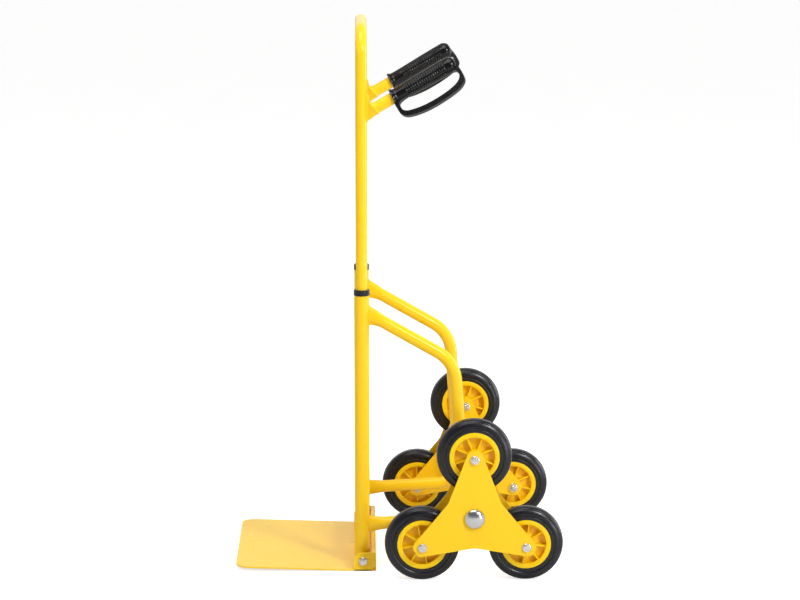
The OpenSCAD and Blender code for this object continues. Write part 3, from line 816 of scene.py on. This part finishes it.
def hex_head(shape, at, x0, x1, flat, turn, hole=0.0, dome=0.0):
    """Hexagon head or nut from its seat x0 to its top x1, with chamfered corners.

    A nut has a hole of that radius; a head has none, and rises to a dome of that height.
    """
    s = 1 if x1 > x0 else -1
    corner, crown, chamfer, countersink = flat / math.cos(math.pi / 6), flat * 0.93, 1.9, 0.7
    rings = [hexagon(flat, corner, x0, at, turn), hexagon(flat, corner, x1 - s * chamfer, at, turn)]
    for t in (0.25, 0.5, 0.75, 1.0):
        x = x1 - s * chamfer * (1 - t) ** 1.4
        rings.append(hexagon(flat, corner - (corner - crown) * t, x, at, turn))
    if hole:
        rings += [ring_along_x(x, at, r, HEX_RING)
                  for r, x in ((hole + countersink, x1), (hole, x1 - s * countersink), (hole, x0))]
        shape.loft(rings, closed=True)
        return
    rings += [ring_along_x(x1 + s * dome * (1 - t * t), at, crown * t, HEX_RING)
              for t in (0.8, 0.55, 0.3, 0.1)]
    shape.loft(rings)


def washer(shape, at, x0, x1, outer, inner):
    """Flat ring between x0 and x1 with chamfered outer edges."""
    lo, hi, c = min(x0, x1), max(x0, x1), 0.35
    shape.revolve([(inner, lo), (outer - c, lo), (outer, lo + c), (outer, hi - c), (outer - c, hi),
                   (inner, hi)], at, n=56)


def thread(shape, at, x0, x1, r, pitch):
    """Threaded shank with a chamfered end at x1."""
    s, depth = 1 if x1 > x0 else -1, 0.75
    profile, x = [(r * 0.2, x0), (r, x0)], x0
    while abs(x1 - x) > pitch:
        profile += [(r, x + s * 0.15 * pitch), (r - depth, x + s * 0.5 * pitch), (r, x + s * 0.85 * pitch)]
        x += s * pitch
    profile += [(r - 0.2, x1 - s), (r - 1.2, x1), (r * 0.2, x1)]
    shape.revolve(profile, at, n=40, closed=False)


def build_hinge_bolts():
    """Bolts through the ears and the uprights, their heads outside and their nuts inside."""
    bolts, washers, nuts = Shape(), Shape(), Shape()
    head_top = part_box("hinge_bolts")[1].x / MM - 0.5
    seat, inner, at = head_top - 4.5, UX - POST_R, (HINGE.y, HINGE.z)
    flat, shank = 6.5, 3.95
    for s in (1, -1):
        hex_head(bolts, at, s * seat, s * head_top, flat, turn=0.3, dome=0.48)
        bolts.revolve([(0.5, s * (seat + 0.2)), (shank, s * (seat + 0.2)), (shank, s * (inner - 8)),
                       (0.5, s * (inner - 8))], at, n=32, closed=False)
        thread(bolts, at, s * (inner - 7), s * (inner - 12), shank, 1.2)
        washer(washers, at, s * (seat - 1.6), s * seat, 8.5, 4.05)
        hex_head(nuts, at, s * inner, s * (inner - 7.8), flat, turn=0.9, hole=4.0)
    bolts.piece("hinge_bolt_pair", "frame", "zinc", stands_for=["hinge_bolts"])
    washers.piece("hinge_washer_pair", "frame", "zinc", stands_for=["hinge_washers"])
    nuts.piece("hinge_nut_pair", "frame", "zinc", stands_for=["hinge_nuts"])


build_hinge_bolts()

# ---------------------------------------------------------------- wheel clusters

INNER_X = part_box("left_inner_plate")[0].x / MM
OUTER_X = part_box("left_outer_plate")[0].x / MM
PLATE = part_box("left_outer_plate")[1].x / MM - OUTER_X
FACE = OUTER_X + PLATE                      # the outer plate's visible face
ARM = 119.5                                 # from the axle to each wheel's centre
RIBS = 8                                    # on each side of a rim


def plate_outline():
    """Three arms that widen towards the hub, with round ends and hollowed sides."""
    past_bolt, end_half, end_r, notch, notch_r = 17.5, 12.6, 12.0, 60.7, 40.0
    corners = []
    for i in range(3):
        a = math.radians(90 + 120 * i)
        d, nrm = Vector((math.cos(a), math.sin(a))), Vector((-math.sin(a), math.cos(a)))
        lft, rgt = d * (ARM + past_bolt) - nrm * end_half, d * (ARM + past_bolt) + nrm * end_half
        c = a + math.radians(60)
        corners += [(lft.x, lft.y, end_r), (rgt.x, rgt.y, end_r),
                    (notch * math.cos(c), notch * math.sin(c), notch_r)]
    return [(AXLE.y + u, AXLE.z + v) for u, v in rounded(corners, 12)]


def cap_profile():
    """(radius, x) profile of a hub cap: a rolled rim and a dome, up to a small flat on the axis."""
    edge, dome = 2.4, 10.0
    profile = [(17.5, 0.02), (19.0, 0.02), (19.9, 0.3), (20.4, 0.9), (20.5, 1.6), (20.35, edge)]
    profile += [(20.3 * math.cos(math.radians(a)), edge + dome * math.sin(math.radians(a)))
                for a in range(6, 90, 4)]
    profile.append((0.3, edge + dome))
    return [(r, FACE + x) for r, x in profile]


def build_cluster(name, side):
    """Both plates of one three-wheel cluster, its hub cap, and its wheel bolts with their nuts."""
    body = f"{name}_cluster"
    outline = plate_outline()
    holes = [circle(AXLE.y, AXLE.z, 13, 48)] + [circle(w.y, w.z, 5.05, 24) for w in WHEELS]
    for which, x0 in (("outer", OUTER_X), ("inner", INNER_X)):
        plate = Shape().extrude(outline, along_x, x0, x0 + PLATE, holes)
        plate.piece(f"{name}_{which}_tri_plate", body, "paint", side,
                    stands_for=[f"{name}_{which}_plate"], bevel=0.9, segments=3)
    Shape().revolve(cap_profile(), (AXLE.y, AXLE.z), n=96, closed=False).piece(
        f"{name}_axle_cap", body, "cap", side, stands_for=[f"{name}_hub_cap"], angle=40)
    bolts, nuts = Shape(), Shape()
    thick, wide, flat, shank = 1.5, 9, 8, 5
    for k, w in enumerate(WHEELS):
        at = (w.y, w.z)
        washer(bolts, at, FACE, FACE + thick, wide, 4)
        hex_head(bolts, at, FACE + thick, FACE + 5.6, flat, turn=0.25 + 0.37 * k + 0.1 * side, dome=0.36)
        bolts.revolve([(0.5, FACE + 1), (shank, FACE + 1), (shank, INNER_X - 8), (0.5, INNER_X - 8)], at,
                      n=32, closed=False)
        thread(bolts, at, INNER_X - 7, INNER_X - 11, shank, 1.5)
        washer(nuts, at, INNER_X - thick, INNER_X, wide, 5.05)
        hex_head(nuts, at, INNER_X - thick, INNER_X - 9.3, flat, turn=0.6 + 0.29 * k, hole=5.05)
    bolts.piece(f"{name}_wheel_bolt_set", body, "zinc", side, stands_for=[f"{name}_wheel_bolts"])
    nuts.piece(f"{name}_wheel_nut_set", body, "zinc", side, stands_for=[f"{name}_wheel_nuts"])


def both_faces(half):
    """Closed (radius, x) profile of a wheel's part, from the half on its +X face."""
    return [(r, WHEEL_X + x) for r, x in half] + [(r, WHEEL_X - x) for r, x in reversed(half)]


def rim_profile():
    """Boss, web, barrel and flange of a rim."""
    half = [(8.1, 36.0), (8.8, 36.7), (14.2, 36.7), (15.0, 35.9), (15.6, 6.0), (16.4, 3.8), (18.2, 2.7),
            (40.5, 2.3), (43.4, 3.0), (44.8, 5.0), (45.2, 13.0), (44.2, 13.9), (41.0, 14.1),
            (40.2, 14.8), (40.0, 16.6), (40.5, 17.6), (41.4, 18.0), (49.0, 18.0), (49.9, 17.5),
            (50.0, 16.6)]
    return both_faces(half)


def tyre_profile():
    """Bead ring, sidewall groove, shoulder and tread grooves of a tyre."""
    half = [(50.0, 16.9), (50.6, 17.8), (51.6, 18.0), (55.6, 18.0), (56.6, 17.7), (57.1, 17.0),
            (57.5, 16.3), (58.3, 16.1), (59.1, 16.4), (59.7, 17.1), (60.7, 17.4), (62.6, 17.2),
            (65.0, 16.6), (67.2, 15.7), (69.2, 14.6), (70.4, 13.7), (70.7, 13.0), (71.4, 12.9),
            (72.2, 12.2), (73.2, 10.9), (73.9, 9.6), (74.2, 8.7), (73.5, 8.4), (73.5, 7.6), (74.4, 7.3),
            (74.8, 5.2), (74.0, 4.9), (74.0, 4.1), (74.9, 3.8), (75.0, 1.5)]
    return both_faces(half)


def add_rib(rim, middle, angle, s):
    """Rib on the s side of the web, drafted and rounded on top, from the boss to the barrel."""
    cos, sin = math.cos(angle), math.sin(angle)
    out, across = Vector((0, cos, sin)), Vector((0, -sin, cos))
    foot, shoulder, crest, web = 2.1, 1.35, 0.9, 1.5
    rings = []
    for r, top in ((13.5, 15.6), (20, 15.2), (30, 14.8), (40, 14.6), (45.6, 14.6)):
        half = [(foot, web), (shoulder, top - 1.0), (crest, top - 0.3), (0.3, top)]
        section = [(-t, h) for t, h in half] + half[::-1]
        rings.append([middle + out * r + across * t + X * (s * h) for t, h in section])
    rim.loft(rings)


def build_wheel(name, side, i, first_rib):
    """Tyre and ribbed rim of wheel i; first_rib is the angle of a rib, in degrees."""
    w = WHEELS[i - 1]
    at, body = (w.y, w.z), f"{name}_wheel_{i}"
    Shape().revolve(tyre_profile(), at, n=128).piece(
        f"{name}_tyre_ring_{i}", body, "tyre", side, stands_for=[f"{name}_tyre_{i}"], angle=38)
    rim = Shape().revolve(rim_profile(), at, n=96)
    for k in range(RIBS):
        for s in (1, -1):
            add_rib(rim, w, math.radians(first_rib + 360 / RIBS * k), s)
    rim.piece(f"{name}_rim_disc_{i}", body, "rim", side, stands_for=[f"{name}_rim_{i}"], angle=42)


FIRST_RIB = {"left": (22, 13, -8), "right": (26, 1, 27)}       # for wheels 1, 2 and 3
for side_name, side_sign in SIDES:
    build_cluster(side_name, side_sign)
    for number, first_rib in enumerate(FIRST_RIB[side_name], start=1):
        build_wheel(side_name, side_sign, number, first_rib)

# ---------------------------------------------------------------- floor, light and camera


def build_floor():
    """Round white floor, 30 m in radius; its glow shows to the camera only and lights nothing."""
    mesh = bpy.data.meshes.new("floor")
    edge, glow = [(x, y, 0) for x, y in circle(0, 0, 30.0, 96)], 0.66
    n = len(edge)
    mesh.from_pydata([(0, 0, 0)] + edge, [], [(0, k + 1, (k + 1) % n + 1) for k in range(n)])
    floor = bpy.data.objects.new("floor", mesh)
    bpy.context.scene.collection.objects.link(floor)
    m = Nodes("floor_paper", Specular_IOR_Level=0.1)
    m.shader.inputs["Emission Color"].default_value = (1.0, 1.0, 1.0, 1.0)
    seen = m.new("ShaderNodeMath", operation="MULTIPLY")
    seen.inputs[1].default_value = glow
    m.link(m.new("ShaderNodeLightPath").outputs["Is Camera Ray"], seen.inputs[0])
    m.link(seen.outputs[0], m.shader.inputs["Emission Strength"])
    m.colour(m.noise(3, 2), [(0.3, (0.70, 0.70, 0.695)), (0.7, (0.72, 0.72, 0.715))])
    m.roughness(m.noise(5, 2), 0.75, 0.85)
    mesh.materials.append(m.mat)


def build_world():
    """White studio, dark above and on the camera's side, where the lamps stand."""
    world = bpy.data.worlds.new("studio")
    world.use_nodes = True
    bpy.context.scene.world = world
    tree = world.node_tree
    coords = tree.nodes.new("ShaderNodeTexCoord")
    towards = tree.nodes.new("ShaderNodeVectorMath")
    towards.operation = "DOT_PRODUCT"
    towards.inputs[1].default_value = (0.5, 0.0, 0.866)
    ramp = tree.nodes.new("ShaderNodeValToRGB")
    greys = [(0.0, 1.0), (0.15, 0.95), (0.42, 0.62), (0.62, 0.20), (1.0, 0.14)]
    fill_ramp(ramp, [(position, (grey, grey, grey)) for position, grey in greys])
    tree.links.new(coords.outputs["Generated"], towards.inputs[0])
    tree.links.new(towards.outputs["Value"], ramp.inputs["Fac"])
    tree.links.new(ramp.outputs["Color"], tree.nodes["Background"].inputs["Color"])


def area_light(name, at, target, size, power, glints=True):
    """Lamp in metres and watts; glints tells whether it shows in glossy surfaces."""
    data = bpy.data.lights.new(name, "AREA")
    data.shape, data.size, data.size_y, data.energy = "RECTANGLE", *size, power
    lamp = bpy.data.objects.new(name, data)
    lamp.location = at
    lamp.rotation_euler = (Vector(target) - Vector(at)).to_track_quat("-Z", "Y").to_euler()
    lamp.visible_glossy = glints
    bpy.context.scene.collection.objects.link(lamp)


def build_camera():
    """Long lens on the truck's left side, looking slightly down."""
    data = bpy.data.cameras.new("camera")
    data.lens, data.sensor_width = 117.5, 36.0
    cam = bpy.data.objects.new("camera", data)
    pitch, yaw = math.radians(11.25), math.radians(0.93)
    look = Vector((-math.cos(yaw) * math.cos(pitch), math.sin(yaw) * math.cos(pitch), -math.sin(pitch)))
    cam.location = Vector((5252, UY - 6.5, 1569)) * MM
    cam.rotation_euler = look.to_track_quat("-Z", "Y").to_euler()
    bpy.context.scene.collection.objects.link(cam)
    bpy.context.scene.camera = cam


build_floor()
build_world()
area_light("key", (2.4, 1.8, 2.3), (0, 0, 0.5), (0.6, 0.8), 57)
area_light("front_fill", (3.0, -2.4, 2.0), (0, 0, 0.5), (1.0, 1.0), 10, glints=False)
area_light("overhead", (0.8, -0.4, 3.4), (0, 0, 0.4), (2.2, 2.2), 62)
area_light("strip", (-0.6, 2.4, 0.8), (0, 0, 0.75), (0.25, 1.4), 20)
area_light("low_strip", (2.2, 1.9, 0.36), (0, 0, 0.36), (0.16, 0.66), 11)
build_camera()
bpy.context.scene.view_settings.view_transform = "Standard"
